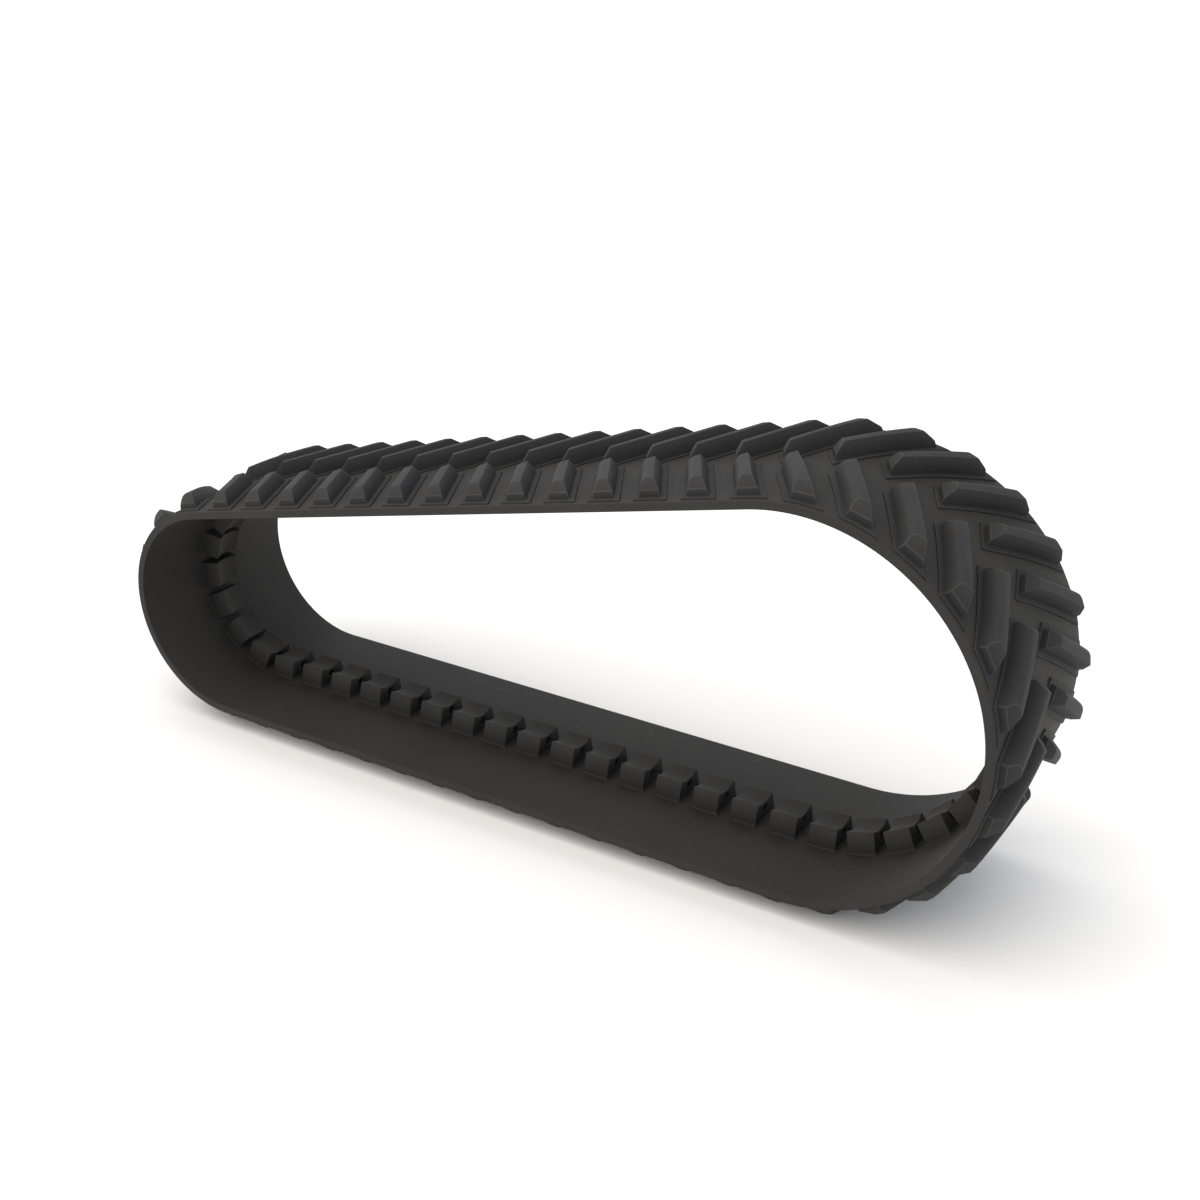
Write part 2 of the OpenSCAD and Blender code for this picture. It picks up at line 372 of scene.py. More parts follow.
def ranged(tree: bpy.types.NodeTree, value: Any, start: float, end: float,
           low: float = 0.0, high: float = 1.0) -> bpy.types.NodeSocket:
    """Stretches the values between start and end over low to high, and holds them there.

    Args:
        tree: The tree that the node joins.
        value: The socket that gives the value.
        start: The value that gives low.
        end: The value that gives high.
        low: The result at start.
        high: The result at end.

    Returns:
        The result's socket.
    """
    node = add_node(tree, "ShaderNodeMapRange", {
        "Value": value, "From Min": start, "From Max": end, "To Min": low, "To Max": high})
    return node.outputs["Result"]


@dataclass(frozen=True)
class RubberFinish:
    """Carbon-black rubber, pressed in a steel mould and cured.

    The mould leaves a matt skin with a fine grain. Wax and dust come to the surface in soft
    clouds, edges that rub turn a lighter grey, and painted shade darkens the foot of what stands
    up.
    """

    name: str
    body: str
    bloom: str
    speck: str
    worn: str
    # The colour of the painted shade at the foot of what stands up
    foot_shade_colour: str = "#111112"
    cloud_mm: float = 320.0
    grain_mm: float = 5.0
    grain_depth_mm: float = 0.35
    speck_share: float = 0.35
    roughness: tuple[float, float] = (0.62, 0.82)
    # How far the painted shade darkens the foot, 0 for none
    foot_shade: float = 0.0
    # Where each pattern's noise starts and stops counting, and how strongly edges show wear
    cloud_span: tuple[float, float] = (0.36, 0.68)
    speck_span: tuple[float, float] = (0.5, 0.66)
    foot_span: tuple[float, float] = (0.12, 0.85)
    wear: tuple[float, float] = (0.35, 0.9)
    uneven_mm: float = 60.0
    uneven_depth_mm: float = 1.2
    # The matt skin dulls the gloss
    gloss: float = 0.3

    def material(self) -> bpy.types.Material:
        """Builds the material.

        Returns:
            A matt rubber with clouds, grain, worn rounds, painted shade at the foot where it is
            set, and a faint unevenness.
        """
        made = bpy.data.materials.new(self.name)
        made.use_nodes = True
        tree = made.node_tree
        shader = tree.nodes["Principled BSDF"]
        place = add_node(tree, "ShaderNodeTexCoord").outputs["Object"]
        clouds = add_node(tree, "ShaderNodeTexNoise", {
            "Vector": place, "Scale": 1000 / self.cloud_mm, "Detail": 5.0, "Roughness": 0.6})
        colour = blended(tree, ranged(tree, clouds.outputs["Fac"], *self.cloud_span),
                         linear(self.body), linear(self.bloom))
        # The mould's grain is a tenth of this. It is drawn coarse enough to show.
        grain = add_node(tree, "ShaderNodeTexNoise", {
            "Vector": place, "Scale": 1000 / self.grain_mm, "Detail": 2.0, "Roughness": 0.7})
        specks = ranged(tree, grain.outputs["Fac"], *self.speck_span, 0.0, self.speck_share)
        colour = blended(tree, specks, colour, linear(self.speck))
        # Painted shade: the colour darkens towards the foot, where a bar or lug meets the carcass
        if self.foot_shade:
            rise = add_node(tree, "ShaderNodeAttribute", attribute_name="rise").outputs["Fac"]
            low = ranged(tree, rise, *self.foot_span, self.foot_shade, 0.0)
            colour = blended(tree, low, colour, linear(self.foot_shade_colour))
        rubbed = add_node(tree, "ShaderNodeAttribute", attribute_name="worn").outputs["Fac"]
        patchy = ranged(tree, clouds.outputs["Fac"], 0.3, 0.7, *self.wear)
        wear = add_node(tree, "ShaderNodeMath", {0: rubbed, 1: patchy}, operation="MULTIPLY")
        colour = blended(tree, wear.outputs[0], colour, linear(self.worn))
        uneven = add_node(tree, "ShaderNodeTexNoise", {
            "Vector": place, "Scale": 1000 / self.uneven_mm, "Detail": 2.0})
        swell = add_node(tree, "ShaderNodeBump", {
            "Height": uneven.outputs["Fac"], "Distance": mm(self.uneven_depth_mm),
            "Strength": 0.35})
        pits = add_node(tree, "ShaderNodeBump", {
            "Height": grain.outputs["Fac"], "Distance": mm(self.grain_depth_mm),
            "Strength": 0.8, "Normal": swell.outputs["Normal"]})
        rough = ranged(tree, grain.outputs["Fac"], 0.3, 0.7, *self.roughness)
        tree.links.new(colour, shader.inputs["Base Color"])
        tree.links.new(rough, shader.inputs["Roughness"])
        tree.links.new(pits.outputs["Normal"], shader.inputs["Normal"])
        shader.inputs["IOR"].default_value = RUBBER_IOR
        shader.inputs["Specular IOR Level"].default_value = self.gloss
        return made


@dataclass(frozen=True)
class CordFinish:
    """Sheet of fine steel cords in rubber: dark brown gum with ridges along them."""

    name: str
    gum: str
    ridge: str
    angle: float
    # The ridges come out 2 pi times as far apart, about 25 mm, which is coarser than the cords
    cord_mm: float = 4.0

    def material(self) -> bpy.types.Material:
        """Builds the material.

        Returns:
            A ribbed sheet whose ridges lie at the ply's cord angle.
        """
        made = bpy.data.materials.new(self.name)
        made.use_nodes = True
        tree = made.node_tree
        shader = tree.nodes["Principled BSDF"]
        place = add_node(tree, "ShaderNodeTexCoord").outputs["Object"]
        turned = add_node(tree, "ShaderNodeMapping", {
            "Vector": place, "Rotation": (0.0, 0.0, math.radians(self.angle))})
        ribs = add_node(tree, "ShaderNodeTexWave", {
            "Vector": turned.outputs["Vector"], "Scale": 1000 / self.cord_mm / 20,
            "Distortion": 0.4, "Detail": 1.0}, wave_type="BANDS", bands_direction="X")
        stain = add_node(tree, "ShaderNodeTexNoise", {"Vector": place, "Scale": 6.0})
        colour = blended(tree, ribs.outputs["Fac"], linear(self.gum), linear(self.ridge))
        colour = blended(tree, ranged(tree, stain.outputs["Fac"], 0.4, 0.7, 0.0, 0.5), colour,
                         linear(self.gum))
        rib = add_node(tree, "ShaderNodeBump", {
            "Height": ribs.outputs["Fac"], "Distance": mm(0.4), "Strength": 0.6})
        tree.links.new(colour, shader.inputs["Base Color"])
        tree.links.new(rib.outputs["Normal"], shader.inputs["Normal"])
        shader.inputs["Roughness"].default_value = 0.7
        shader.inputs["IOR"].default_value = RUBBER_IOR
        return made


@dataclass(frozen=True)
class CableFinish:
    """Brass-coated wire rope: a bright yellowish metal with the lay of its strands."""

    name: str
    brass: str
    gum_and_shade: str
    # The strands come out about 113 mm apart along the diagonal, which is coarser than the lay
    lay_mm: float = 30.0

    def material(self) -> bpy.types.Material:
        """Builds the material.

        Returns:
            A metal with slanted strands, and darker gum with painted shade between them.
        """
        made = bpy.data.materials.new(self.name)
        made.use_nodes = True
        tree = made.node_tree
        shader = tree.nodes["Principled BSDF"]
        place = add_node(tree, "ShaderNodeTexCoord").outputs["Object"]
        strands = add_node(tree, "ShaderNodeTexWave", {
            "Vector": place, "Scale": 1000 / self.lay_mm / 6, "Distortion": 0.6},
            wave_type="BANDS", bands_direction="DIAGONAL")
        # The grooves between the strands take the gum's darker colour and painted shade
        colour = blended(tree, strands.outputs["Fac"], linear(self.gum_and_shade), linear(self.brass))
        rope = add_node(tree, "ShaderNodeBump", {
            "Height": strands.outputs["Fac"], "Distance": mm(0.8), "Strength": 0.7})
        rough = ranged(tree, strands.outputs["Fac"], 0.0, 1.0, 0.55, 0.3)
        tree.links.new(colour, shader.inputs["Base Color"])
        tree.links.new(rough, shader.inputs["Roughness"])
        tree.links.new(rope.outputs["Normal"], shader.inputs["Normal"])
        shader.inputs["Metallic"].default_value = 1.0
        return made


CARCASS_RUBBER = RubberFinish("pressed_carcass_rubber", "#262523", "#2c2a27", "#2f3034",
                              "#363532", speck_share=0.2, grain_depth_mm=0.2)
TREAD_RUBBER = RubberFinish("moulded_tread_rubber", "#242321", "#2b2a27", "#353a47", "#3d3c39",
                            cloud_mm=240.0, speck_share=0.6, foot_shade=0.6)
LUG_RUBBER = RubberFinish("moulded_lug_rubber", "#282725", "#2e2c29", "#313339", "#3f3e3a",
                          cloud_mm=180.0, speck_share=0.25, foot_shade=0.65)
COVER_GUM = RubberFinish("soft_cable_gum", "#262626", "#2d2c2b", "#333333", "#333333",
                         roughness=(0.5, 0.7))


# ---- The belt's path ----


class Stretch(Enum):
    """The four stretches of the loop, in the order that the belt runs through them."""

    DRIVE = "drive"
    RETURN = "return"
    IDLER = "idler"
    GROUND = "ground"


@dataclass(frozen=True)
class Loop:
    """The belt's path round its two wheels, in metres along its inner face.

    A place on it is the distance from the point under the drive wheel's axis, going up the
    drive wheel, back along the return run, down the idler and forward along the ground.
    """

    drive: Vector
    drive_r: float
    idler: Vector
    idler_r: float

    @classmethod
    def from_record(cls) -> "Loop":
        """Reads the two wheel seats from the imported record.

        Returns:
            The loop.
        """
        seats = {mount["name"]: mount for mount in frame["record"]["mounts"]}
        drive, idler = seats["drive_wheel_seat"], seats["idler_seat"]
        return cls(Vector(drive["pos_m"]), mm(drive["dims"]["r_mm"]),
                   Vector(idler["pos_m"]), mm(idler["dims"]["r_mm"]))

    @property
    def spacing(self) -> float:
        """The distance along the ground between the wheel axes."""
        return self.drive.x - self.idler.x

    @property
    def slope(self) -> float:
        """The angle at which the return run comes down to the idler, in radians."""
        return 2 * math.atan((self.drive_r - self.idler_r) / self.spacing)

    @property
    def ends(self) -> dict[Stretch, float]:
        """Where each stretch ends along the loop."""
        drive_end = self.drive_r * (math.pi + self.slope)
        idler_end = drive_end + self.spacing + self.idler_r * (math.pi - self.slope)
        return {Stretch.DRIVE: drive_end, Stretch.RETURN: drive_end + self.spacing,
                Stretch.IDLER: idler_end, Stretch.GROUND: idler_end + self.spacing}

    @property
    def length(self) -> float:
        """The length of the loop along its inner face."""
        return self.ends[Stretch.GROUND]

    def stretch(self, u: float) -> Stretch:
        """Returns the stretch in which u lies."""
        u %= self.length
        return next(part for part, end in self.ends.items() if u < end)

    def facing(self, u: float) -> float:
        """Returns the angle from +X towards +Z at which the belt's outside faces at u."""
        u %= self.length
        ends = self.ends
        if u < ends[Stretch.DRIVE]:
            return -math.pi / 2 + u / self.drive_r
        if u < ends[Stretch.RETURN]:
            return math.pi / 2 + self.slope
        if u < ends[Stretch.IDLER]:
            return math.pi / 2 + self.slope + (u - ends[Stretch.RETURN]) / self.idler_r
        return 1.5 * math.pi

    def place(self, u: float, y: float, height: float) -> Vector:
        """Finds a point on or off the belt's inner face.

        Args:
            u: The distance along the loop.
            y: The place across the belt.
            height: The distance outwards from the inner face.

        Returns:
            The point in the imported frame.
        """
        u %= self.length
        ends = self.ends
        angle = self.facing(u)
        out = Vector((math.cos(angle), 0.0, math.sin(angle)))
        back = Vector((-math.cos(self.slope), 0.0, -math.sin(self.slope)))
        if u < ends[Stretch.DRIVE]:
            base = self.drive + out * self.drive_r
        elif u < ends[Stretch.RETURN]:
            base = self.drive + out * self.drive_r + back * (u - ends[Stretch.DRIVE])
        elif u < ends[Stretch.IDLER]:
            base = self.idler + out * self.idler_r
        else:
            base = self.idler + out * self.idler_r + Vector((u - ends[Stretch.IDLER], 0, 0))
        return Vector((base.x, y, base.z)) + out * height

    def stood(self, u: float) -> Matrix:
        """Gives the placing of a part that stands on the inner face.

        Args:
            u: Where its middle stands.

        Returns:
            The matrix that takes its +X along the loop and its +Z inwards.
        """
        angle = self.facing(u)
        along = Vector((-math.sin(angle), 0.0, math.cos(angle)))
        inward = Vector((-math.cos(angle), 0.0, -math.sin(angle)))
        turn = Matrix((along, Vector((0.0, 1.0, 0.0)), inward)).transposed()
        return Matrix.Translation(self.place(u, 0.0, 0.0)) @ turn.to_4x4()

    def reach(self, node: str) -> float:
        """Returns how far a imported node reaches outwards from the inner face."""
        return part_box(node)[1].x - self.drive.x - self.drive_r


# ---- Carcass ----


@dataclass(frozen=True)
class Band:
    """A layer of the carcass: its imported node, its heights and edges, and its rounds."""

    node: str
    low: float
    high: float
    left: float
    right: float
    inner_round: float = 0.0
    outer_round: float = 0.0


@dataclass
class Carcass:
    """The flat body of the belt: its wheel-side liner, its two edge strips and its tread base."""

    loop: Loop
    drive_steps: int = 108
    idler_steps: int = 84
    inner_round: float = 2.5
    outer_round: float = 3.5
    round_steps: int = 4

    @property
    def half_width(self) -> float:
        """Half the width of the belt."""
        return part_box("tread_base")[1].y

    @property
    def thickness(self) -> float:
        """The height of the tread base's face above the inner face."""
        return self.loop.reach("tread_base")

    def bands(self) -> list[Band]:
        """Lists the layers that show, each with its place in the carcass.

        Returns:
            The liner, the left and right edge strips, and the tread base.
        """
        half, core = self.half_width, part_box("cable_cover")[1].y
        liner, plies = self.loop.reach("wheel_side_liner"), self.loop.reach("cross_ply")
        return [
            Band("wheel_side_liner", 0.0, liner, -half, half, inner_round=mm(self.inner_round)),
            Band("left_edge_strip", liner, plies, -half, -core),
            Band("right_edge_strip", liner, plies, core, half),
            Band("tread_base", plies, self.thickness, -half, half,
                 outer_round=mm(self.outer_round)),
        ]

    def spun(self, band: Band) -> bpy.types.Object:
        """Carries a band's cut end round the loop.

        Args:
            band: The layer.

        Returns:
            A closed hoop.
        """
        loop = self.loop
        middle = loop.place(0.0, (band.left + band.right) / 2, (band.low + band.high) / 2)
        work = Workpiece.sheet(f"hoop_{band.node}", middle,
                               (band.high - band.low, band.right - band.left),
                               (0.0, math.pi / 2, 0.0))
        for height, radius in ((band.low, band.inner_round), (band.high, band.outer_round)):
            if radius:
                self.round_corners(work, loop.place(0.0, 0.0, height).z, radius)
        with work.shaping():
            bpy.ops.mesh.select_mode(type="EDGE")
            bpy.ops.mesh.select_all(action="SELECT")
            bpy.ops.mesh.delete(type="ONLY_FACE")
            bpy.ops.mesh.select_all(action="SELECT")
            self.turn_round(loop.drive, math.pi + loop.slope, self.drive_steps)
            self.run_on(Vector((-math.cos(loop.slope), 0, -math.sin(loop.slope))))
            self.turn_round(loop.idler, math.pi - loop.slope, self.idler_steps)
            self.run_on(Vector((1.0, 0.0, 0.0)))
            bpy.ops.mesh.select_all(action="SELECT")
            bpy.ops.mesh.remove_doubles(threshold=mm(WELD_MM))
        return joined(f"{band.node}_rubber", [work.piece])

    def round_corners(self, work: Workpiece, level: float, radius: float) -> None:
        """Rounds the two corners of a cut end that lie at one level.

        Args:
            work: The cut end.
            level: The corners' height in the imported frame.
            radius: The radius of the round.
        """
        with work.shaping() as mesh:
            bpy.ops.mesh.select_mode(type="VERT")
            for vertex in mesh.verts:
                if abs(vertex.co.z - level) < mm(LEVEL_MM):
                    vertex.select_set(True)
            bmesh.update_edit_mesh(work.piece.data)
            bpy.ops.mesh.bevel(offset=radius, segments=self.round_steps, profile=0.5,
                               affect="VERTICES")

    def turn_round(self, centre: Vector, angle: float, steps: int) -> None:
        """Spins the selected end round a wheel's axis.

        Args:
            centre: A point on the axis.
            angle: How far it turns, in radians.
            steps: How many steps it takes.
        """
        bpy.ops.mesh.spin(steps=steps, dupli=False, angle=angle, center=centre,
                          axis=(0.0, 1.0, 0.0))

    def run_on(self, direction: Vector) -> None:
        """Extrudes the selected end along a straight run.

        Args:
            direction: The way that the run goes, as a unit vector.
        """
        bpy.ops.mesh.extrude_region_move(
            TRANSFORM_OT_translate={"value": direction * self.loop.spacing})

    def build(self) -> list[tuple[bpy.types.Object, str]]:
        """Makes the hoops.

        Returns:
            Each hoop with the node that it stands for.
        """
        return [(self.spun(band), band.node) for band in self.bands()]

    def dress(self, hoops: list[tuple[bpy.types.Object, str]]) -> None:
        """Gives the hoops their rubber and fixes them to the belt."""
        rubber = CARCASS_RUBBER.material()
        for hoop, node in hoops:
            hoop.data.materials.append(rubber)
            fix(hoop, node)


@dataclass
class Core:
    """What lies buried in the carcass: the main cables, their cover and the three cord plies."""

    bias_angle: float = 30.0

    def dress(self) -> None:
        """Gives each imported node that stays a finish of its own."""
        finishes = {
            "main_cables": CableFinish("brass_coated_wire_rope", "#b9a878", "#3a352a"),
            "cable_cover": COVER_GUM,
            "inner_bias_ply": CordFinish("bias_cord_sheet_inner", "#2f2a24", "#5c5040",
                                         self.bias_angle),
            "outer_bias_ply": CordFinish("bias_cord_sheet_outer", "#332d26", "#62553f",
                                         -self.bias_angle),
            "cross_ply": CordFinish("cross_cord_sheet", "#2c2722", "#554a3c", 90.0),
        }
        for node, finish in finishes.items():
            mesh = frame["nodes"][node].data
            mesh.materials.clear()
            mesh.materials.append(finish.material())
            LOG.info("%s: packed shape kept, finish %s", node, finish.name)


# ---- Guide lugs ----


@dataclass
class GuideLugs:
    """The row of guide lugs on the belt's inside."""

    loop: Loop
    count: int = 54
    start: float = 28.0
    length: float = 97.0
    height: float = 75.0
    top_width: float = 108.0
    foot_width: float = 140.0
    bulge: float = 3.0
    saddle: float = 12.0
    ridge_width: float = 5.0
    hole_d: float = 32.0
    hole_z: float = 39.0
    foot_fillet: float = 9.0
    root: float = 5.0
    edge_round: float = 2.2
    edge_angle: float = 24.0
    side_steps: int = 5
    saddle_sides: int = 128
    hole_sides: int = 40
    # How far the cutters run, as a share of the lug's length
    cutter_share: float = 1.4
    foot_root: float = 2.0
    foot_steps: int = 4
    foot_bend: float = 12.0

    def side(self) -> Profile:
        """The barrel-shaped side wall, as distances from the middle and heights."""
        points = []
        for i in range(self.side_steps + 1):
            share = i / self.side_steps
            width = self.foot_width + (self.top_width - self.foot_width) * share
            points.append((width / 2 + 4 * self.bulge * share * (1 - share),
                           self.height * share))
        return points

    def body(self) -> Workpiece:
        """Cuts one lug from a block.

        Returns:
            The lug, its foot at z = 0 and its length along X.
        """
        reach = mm(self.foot_width)
        work = Workpiece.block("lug_body", Vector((-mm(self.length) / 2, -reach, -mm(self.root))),
                               Vector((mm(self.length) / 2, reach, mm(self.height))))
        profile = self.side()
        along = Vector((1.0, 0.0, 0.0))
        for side in (-1.0, 1.0):
            for (out_a, z_a), (out_b, z_b) in zip(profile, profile[1:]):
                work.carve_wall(Vector((0, side * mm(out_a), mm(z_a))),
                                Vector((0, side * mm(out_b), mm(z_b))),
                                along, Vector((0, side, 0)))
        half = self.top_width / 2 - self.ridge_width
        radius = (half ** 2 + self.saddle ** 2) / (2 * self.saddle)
        cut = mm(self.length * self.cutter_share)
        saddle_z = mm(self.height - self.saddle + radius)
        work.cut_with(Workpiece.rod("saddle_cutter", mm(radius), cut, Vector((0, 0, saddle_z)),
                                    self.saddle_sides))
        work.cut_with(Workpiece.rod("hole_cutter", mm(self.hole_d / 2), cut,
                                    Vector((0, 0, mm(self.hole_z))), self.hole_sides))
        work.round_edges(mm(self.edge_round), self.edge_angle, segments=3,
                         where=lambda middle: middle.z > 0.0)
        work.paint_rise(mm(self.height))
        return work

    def foot(self) -> Workpiece:
        """Draws the hollow fillet round a lug's foot.

        Returns:
            A low frustum with sides that curve up into the lug.
        """
        fillet = mm(self.foot_fillet)
        size = (mm(self.length) + 2 * fillet, mm(self.foot_width) + 2 * fillet)
        work = Workpiece.sheet("lug_foot", Vector((0, 0, -mm(self.foot_root))), size)
        with work.shaping():
            bpy.ops.mesh.select_all(action="SELECT")
            reach, level = 0.0, 0.0
            bpy.ops.mesh.extrude_region_move(
                TRANSFORM_OT_translate={"value": (0, 0, mm(self.foot_root))})
            for i in range(1, self.foot_steps + 1):
                turn = math.pi / 2 * i / self.foot_steps
                next_reach, next_level = fillet * math.sin(turn), fillet * (1 - math.cos(turn))
                bpy.ops.mesh.extrude_region_move(
                    TRANSFORM_OT_translate={"value": (0, 0, next_level - level)})
                scale = [(s - 2 * next_reach) / (s - 2 * reach) for s in size]
                bpy.ops.transform.resize(value=(scale[0], scale[1], 1.0),
                                         center_override=(0.0, 0.0, 0.0))
                reach, level = next_reach, next_level
        work.score(Vector((1, 0, 0)), -mm(self.length) / 2, mm(self.length) / 2, mm(self.foot_bend))
        work.paint_rise(mm(self.height))
        return work

    def build(self) -> dict[Stretch, bpy.types.Object]:
        """Lays the lugs round the inside of the loop.

        Returns:
            Each stretch's lugs.
        """
        body, foot = self.body(), self.foot()
        rows: dict[Stretch, list[bpy.types.Object]] = {part: [] for part in Stretch}
        for i in range(self.count):
            u = mm(self.start) + i * self.loop.length / self.count
            standing = self.loop.stood(u)
            row = rows[self.loop.stretch(u)]
            row.append(body.laid(lambda point: standing @ point))
            row.append(foot.laid(lambda point: self.loop.place(u + point.x, point.y, -point.z)))
        body.scrap()
        foot.scrap()
        return {part: joined(f"lug_row_{part.value}", row) for part, row in rows.items()}

    def dress(self, rows: dict[Stretch, bpy.types.Object]) -> None:
        """Gives the lugs their rubber and fixes them to the belt."""
        rubber = LUG_RUBBER.material()
        for part, row in rows.items():
            row.data.materials.append(rubber)
            fix(row, f"guide_lugs_{part.value}")


# ---- Tread bars ----


class Row(Enum):
    """The two rows of tread bars, and the way that each one's outer end points."""

    LEFT = -1
    RIGHT = 1


@dataclass
class TreadBars:
    """The two staggered rows of chevron bars on the belt's outside.

    On the bench a bar's X runs along the belt, its Y goes in from the belt's edge, and its Z
    goes outwards from the carcass.
    """

    loop: Loop
    half_width: float
    carcass_thickness: float
    count: int = 47
    start: float = 9.0
    angle: float = 30.0
    height: float = 58.0
    foot_length: float = 82.0
    edge_gap: float = 37.0
    centre_gap: float = 19.0
    step_height: float = 6.5
    step_width: float = 16.0
    step_outer: float = 21.5
    step_inner: float = 12.0
    step_draft: float = 1.5
    step_round: float = 1.3
    step_edge_angle: float = 40.0
    root: float = 1.0
    # Edges below this height meet the carcass and stay sharp
    sharp_below: float = 1.0
    edge_round: float = 2.4
    edge_angle: float = 21.0
    bend_step: float = 24.0
    bend_from: float = -60.0
    bend_to: float = 270.0
    # The uncut block, along the belt and in from its edge
    block_back: float = 120.0
    block_ahead: float = 330.0
    block_in: float = 430.0
    # The walls as distances along the belt from the bar's middle line, and heights
    trailing: Profile = ((-41.0, 6.5), (-35.7, 26.0), (-23.5, 58.0))
    leading: Profile = ((41.0, 6.5), (35.0, 21.3), (29.5, 34.2), (24.6, 43.7), (19.2, 50.2),
                        (13.0, 54.7), (6.0, 57.3), (0.5, 58.0))
    # The end walls as distances in from where they start, and heights
    outer_end: Profile = ((0.0, 6.5), (4.0, 26.0), (36.0, 58.0))
    inner_end: Profile = ((0.0, 6.5), (1.4, 26.0), (28.9, 58.0))

    @property
    def lean(self) -> float:
        """How far a bar moves along the belt for each millimetre in from the edge."""
        return math.tan(math.radians(self.angle))

    @property
    def inner_reach(self) -> float:
        """How far the inner end's foot lies along the bar's inner end normal."""
        far = self.half_width * 1000 - self.centre_gap
        start = self.lean * (far - self.edge_gap) - self.foot_length / 2
        return start * self.inner_normal.x + far * self.inner_normal.y

    @property
    def inner_normal(self) -> Vector:
        """The level direction in which the inner end wall faces."""
        turn = math.radians(self.angle)
        return Vector((math.cos(turn), math.sin(turn), 0.0))

    @property
    def run(self) -> Vector:
        """The level direction in which a bar's walls run."""
        return Vector((self.lean, 1.0, 0.0))

    def carve_ends(self, work: Workpiece, outer_at: float, outer: Profile, inner_at: float,
                   inner: Profile) -> None:
        """Cuts a bar or its step to length at both ends.

        Args:
            work: The bar or the step.
            outer_at: Where the outer end starts, in from the belt's edge.
            outer: The outer end's profile.
            inner_at: Where the inner end starts, along its normal.
            inner: The inner end's profile.
        """
        across = Vector((-self.inner_normal.y, self.inner_normal.x, 0.0))
        for (in_a, z_a), (in_b, z_b) in zip(outer, outer[1:]):
            work.carve_wall(Vector((0, mm(outer_at + in_a), mm(z_a))),
                            Vector((0, mm(outer_at + in_b), mm(z_b))),
                            Vector((1, 0, 0)), Vector((0, -1, 0)))
        for (in_a, z_a), (in_b, z_b) in zip(inner, inner[1:]):
            low = self.inner_normal * mm(inner_at - in_a) + Vector((0, 0, mm(z_a)))
            high = self.inner_normal * mm(inner_at - in_b) + Vector((0, 0, mm(z_b)))
            work.carve_wall(low, high, across, self.inner_normal)

    def carve_sides(self, work: Workpiece, trailing: Profile, leading: Profile) -> None:
        """Cuts the two long walls of a bar or its step.

        Args:
            work: The bar or the step.
            trailing: The wall that faces back along the loop.
            leading: The wall that faces forward along it.
        """
        for wall, side in ((trailing, -1.0), (leading, 1.0)):
            for (off_a, z_a), (off_b, z_b) in zip(wall, wall[1:]):
                work.carve_wall(Vector((mm(off_a), mm(self.edge_gap), mm(z_a))),
                                Vector((mm(off_b), mm(self.edge_gap), mm(z_b))),
                                self.run, Vector((side, 0, 0)))

    def block(self, name: str, top: float) -> Workpiece:
        """Starts a block that is large enough for a bar.

        Args:
            name: What the block is called.
            top: Its height above the carcass.

        Returns:
            The block.
        """
        return Workpiece.block(name, Vector((-mm(self.block_back), 0.0, -mm(self.root))),
                               Vector((mm(self.block_ahead), mm(self.block_in), mm(top))))

    def bar(self) -> Workpiece:
        """Cuts one bar from a block.

        Returns:
            The bar without its step.
        """
        work = self.block("tread_bar", self.height)
        self.carve_sides(work, self.trailing, self.leading)
        self.carve_ends(work, self.edge_gap, self.outer_end, self.inner_reach, self.inner_end)
        work.round_edges(mm(self.edge_round), self.edge_angle, segments=3,
                         where=lambda middle: middle.z > mm(self.sharp_below))
        return work

    def step(self) -> Workpiece:
        """Cuts the low step that goes round a bar's foot.

        Returns:
            The step.
        """
        half = self.foot_length / 2 + self.step_width / math.cos(math.radians(self.angle))
        work = self.block("bar_step", self.step_height)
        top, draft = self.step_height, self.step_draft
        end = ((-draft, 0.0), (0.0, top))
        self.carve_sides(work, ((-half - draft, 0.0), (-half, top)),
                         ((half + draft, 0.0), (half, top)))
        self.carve_ends(work, self.edge_gap - self.step_outer, end,
                        self.inner_reach + self.step_inner, end)
        work.round_edges(mm(self.step_round), self.step_edge_angle, segments=2,
                         where=lambda middle: middle.z > mm(self.sharp_below))
        return work

    def build(self) -> dict[tuple[Row, Stretch], bpy.types.Object]:
        """Lays both rows of bars round the outside of the loop.

        Returns:
            Each row's bars by stretch.
        """
        bench = [self.bar(), self.step()]
        for work in bench:
            work.score(Vector((1, 0, 0)), mm(self.bend_from), mm(self.bend_to),
                       mm(self.bend_step))
            work.paint_rise(mm(self.height))
        pitch = self.loop.length / self.count
        half_bar = mm(self.lean * (self.half_width * 1000 - self.edge_gap) / 2)
        laid: dict[tuple[Row, Stretch], list[bpy.types.Object]] = {
            (row, part): [] for row in Row for part in Stretch}
        for row in Row:
            for i in range(self.count):
                u = self.loop.ends[Stretch.DRIVE] + mm(self.start)
                u += (i + (0.5 if row is Row.RIGHT else 0.0)) * pitch
                group = laid[row, self.loop.stretch(u + half_bar)]
                for work in bench:
                    group.append(work.laid(lambda point: self.loop.place(
                        u + point.x, row.value * (self.half_width - point.y),
                        self.carcass_thickness + point.z)))
        for work in bench:
            work.scrap()
        return {key: joined(f"{key[0].name.lower()}_bar_row_{key[1].value}", group)
                for key, group in laid.items()}

    def dress(self, rows: dict[tuple[Row, Stretch], bpy.types.Object]) -> None:
        """Gives the bars their rubber and fixes them to the belt."""
        rubber = TREAD_RUBBER.material()
        for (row, part), bars in rows.items():
            bars.data.materials.append(rubber)
            fix(bars, f"{row.name.lower()}_bars_{part.value}")


def fix(piece: bpy.types.Object, node: str) -> None:
    """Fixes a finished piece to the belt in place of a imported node.

    Args:
        piece: The piece.
        node: The node that it stands for.
    """
    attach(piece, BODY)
    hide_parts(node)
    LOG.info("%s: %d faces, in place of %s", piece.name, len(piece.data.polygons), node)


# ---- Studio ----


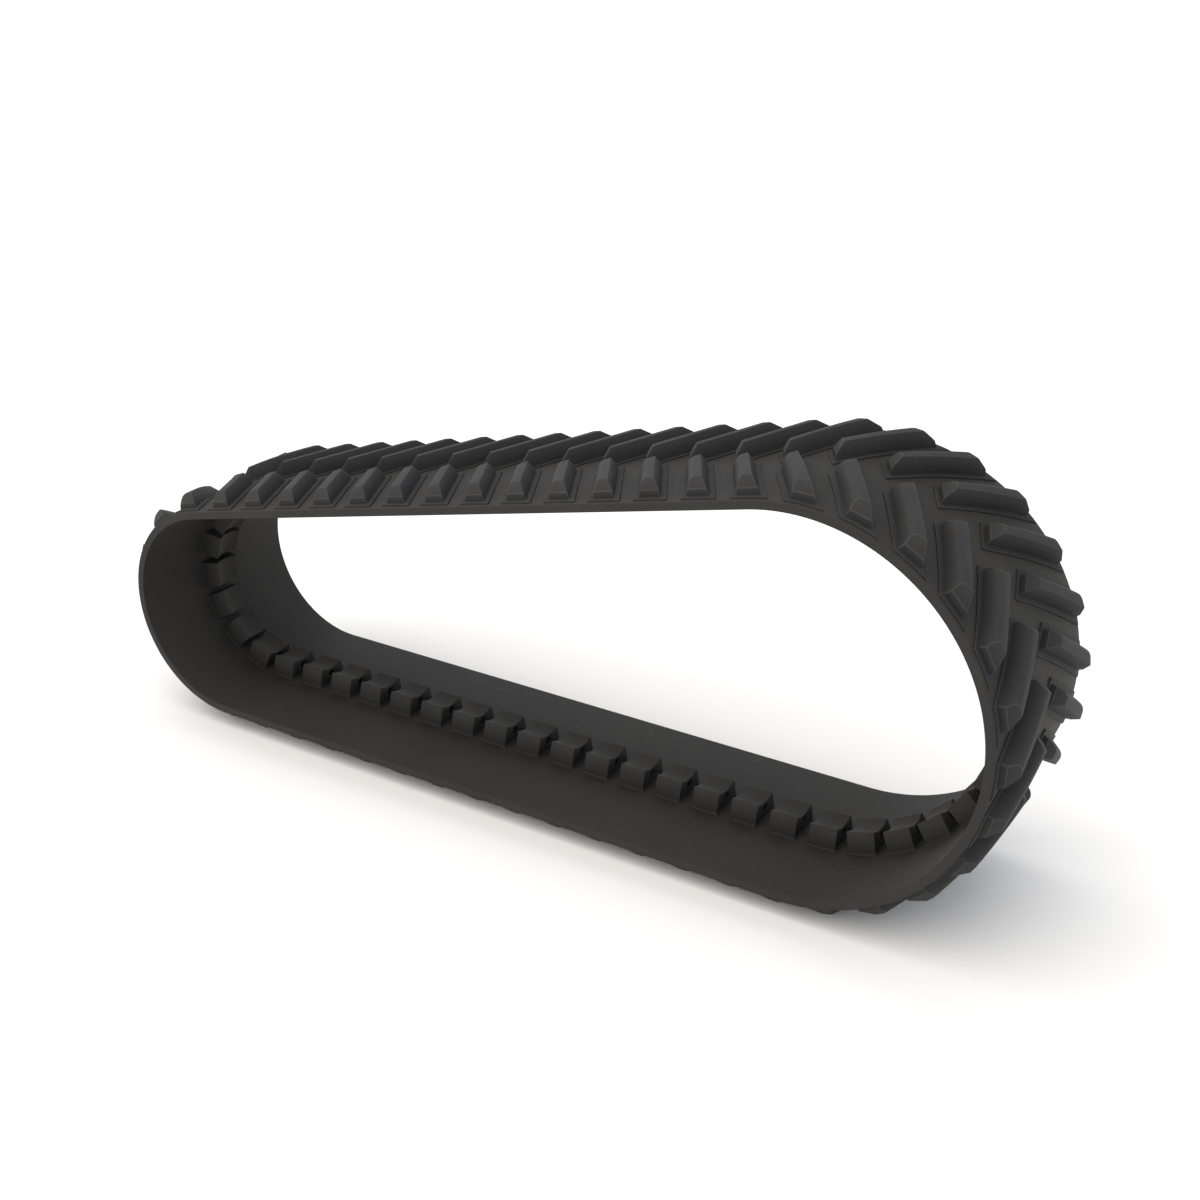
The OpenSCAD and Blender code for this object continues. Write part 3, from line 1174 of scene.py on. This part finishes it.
@dataclass(frozen=True)
class Skylight:
    """Even light from a wide window high up, which comes from one direction."""

    name: str
    comes_from: tuple[float, float, float]
    strength: float
    spread: float
    colour: str

    def light(self) -> None:
        """Opens the skylight."""
        lamp = bpy.data.lights.new(self.name, "SUN")
        lamp.energy, lamp.angle = self.strength, math.radians(self.spread)
        lamp.color = linear(self.colour)[:3]
        holder = bpy.data.objects.new(self.name, lamp)
        holder.rotation_euler = (-Vector(self.comes_from)).to_track_quat("-Z", "Y").to_euler()
        holder.location = Vector(self.comes_from) * 8
        bpy.context.scene.collection.objects.link(holder)


@dataclass
class Studio:
    """A pale floor under soft light, and the camera."""

    eye: tuple[float, float, float] = (2.9446, -4.4189, 3.0931)
    view: tuple[float, float, float] = (-0.4860, 0.7716, -0.4104)
    lens: float = 50.0
    sky: str = "#f6f8fd"
    sky_strength: float = 0.98
    floor_colour: str = "#f7f7f6"
    floor_half_m: float = 120.0
    floor_drop: float = 0.5
    sensor_mm: float = 36.0
    clip_end_m: float = 400.0

    def camera(self) -> None:
        """Sets up the camera."""
        data = bpy.data.cameras.new("camera")
        data.lens, data.sensor_width = self.lens, self.sensor_mm
        data.clip_end = self.clip_end_m
        holder = bpy.data.objects.new("camera", data)
        holder.location = self.eye
        holder.rotation_euler = Vector(self.view).to_track_quat("-Z", "Y").to_euler()
        bpy.context.scene.collection.objects.link(holder)
        bpy.context.scene.camera = holder

    def floor(self) -> None:
        """Lays the floor under the belt."""
        work = Workpiece.sheet("studio_floor", Vector((0, 0, -mm(self.floor_drop))),
                               (2 * self.floor_half_m, 2 * self.floor_half_m))
        paper = bpy.data.materials.new("pale_paper")
        paper.use_nodes = True
        shader = paper.node_tree.nodes["Principled BSDF"]
        shader.inputs["Base Color"].default_value = linear(self.floor_colour)
        shader.inputs["Roughness"].default_value = 0.9
        work.piece.data.materials.append(paper)

    def lights(self) -> None:
        """Opens the skylight and sets the light from all round."""
        world = bpy.data.worlds.new("soft_sky")
        world.use_nodes = True
        background = world.node_tree.nodes["Background"]
        background.inputs["Color"].default_value = linear(self.sky)
        background.inputs["Strength"].default_value = self.sky_strength
        bpy.context.scene.world = world
        bpy.context.scene.view_settings.view_transform = "Standard"
        Skylight("left_skylight", (-0.4, -0.42, 0.81), 1.8, 90.0, "#fff5e6").light()

    def build(self) -> None:
        """Sets up the whole studio."""
        self.camera()
        self.floor()
        self.lights()
        LOG.info("studio: floor, lights and camera")


def main() -> None:
    """Builds the studio and then the belt, from its carcass outwards."""
    logging.basicConfig(level=logging.INFO, format="%(name)s %(message)s")
    Studio().build()
    loop = Loop.from_record()
    carcass = Carcass(loop)
    carcass.dress(carcass.build())
    Core().dress()
    lugs = GuideLugs(loop)
    lugs.dress(lugs.build())
    bars = TreadBars(loop, carcass.half_width, carcass.thickness)
    bars.dress(bars.build())


if __name__ == "__main__":
    main()
